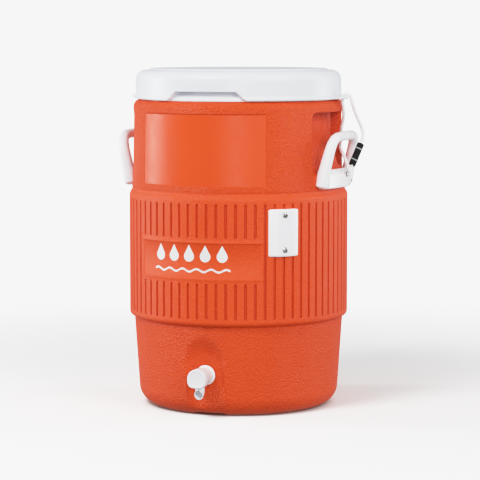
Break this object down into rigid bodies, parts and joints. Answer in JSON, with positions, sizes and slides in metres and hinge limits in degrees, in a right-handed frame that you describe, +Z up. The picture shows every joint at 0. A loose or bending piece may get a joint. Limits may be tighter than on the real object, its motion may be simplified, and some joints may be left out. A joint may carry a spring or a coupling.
{
  "type": "insulated drink dispenser",
  "caption": "Round insulated drink jug with a seat-top lid, a push-button spigot in a recessed scoop, side carry handles, a ribbed belt, a cup bracket and a rope tether.",
  "frame": {"origin": "centre of the round foot ring on the underside, on the jug's upright axis", "axes": "+Z up along the jug's axis, -Y towards the spigot, +X towards the handle that carries the lid tether"},
  "size_m": [0.3602, 0.349, 0.4995],
  "materials": {
    "orange_shell": "moulded polyethylene, fine orange-peel texture, satin",
    "white_lid": "smooth moulded polyethylene, satin gloss",
    "white_liner": "smooth moulded food-grade liner",
    "white_fittings": "smooth injection-moulded plastic",
    "screw_steel": "stainless steel, slightly dulled",
    "foam": "rigid foam",
    "grey_rubber": "soft rubber seal",
    "white_rope": "twisted cord",
    "black_sleeve": "woven label sleeve",
    "spring_steel": "stainless spring wire"
  },
  "bodies": {
    "body": {"outer_shell": "orange_shell", "inner_liner": "white_liner", "body_insulation": "foam", "base_fill_plug": "orange_shell", "handle_right": "white_fittings", "handle_left": "white_fittings", "handle_screws_right": "screw_steel", "handle_screws_left": "screw_steel", "cup_bracket": "white_fittings", "cup_bracket_screws": "screw_steel", "spigot_body": "white_fittings", "spigot_gasket_outer": "grey_rubber", "spigot_gasket_inner": "grey_rubber", "spigot_nut": "white_fittings", "stem_o_ring": "grey_rubber", "tether_cord": "white_rope", "tether_tag": "black_sleeve", "return_spring": "spring_steel"},
    "lid": {"lid_shell": "white_lid", "lid_underpan": "white_lid", "lid_insulation": "foam", "lid_fill_plug": "white_lid"},
    "button": {"spigot_button": "white_fittings", "valve_stem": "white_fittings", "valve_seal": "grey_rubber"}
  },
  "joints": [
    {"name": "lid_lift", "type": "slide", "parent": "body", "child": "lid", "axis": [0, 0, 1], "range_m": [0, 0.045], "deforming": ["tether_cord"]},
    {"name": "button_push", "type": "slide", "parent": "body", "child": "button", "axis": [0, 1, 0], "range_m": [0, 0.005], "stiffness_N_per_m": 900, "deforming": ["return_spring"]}
  ]
}
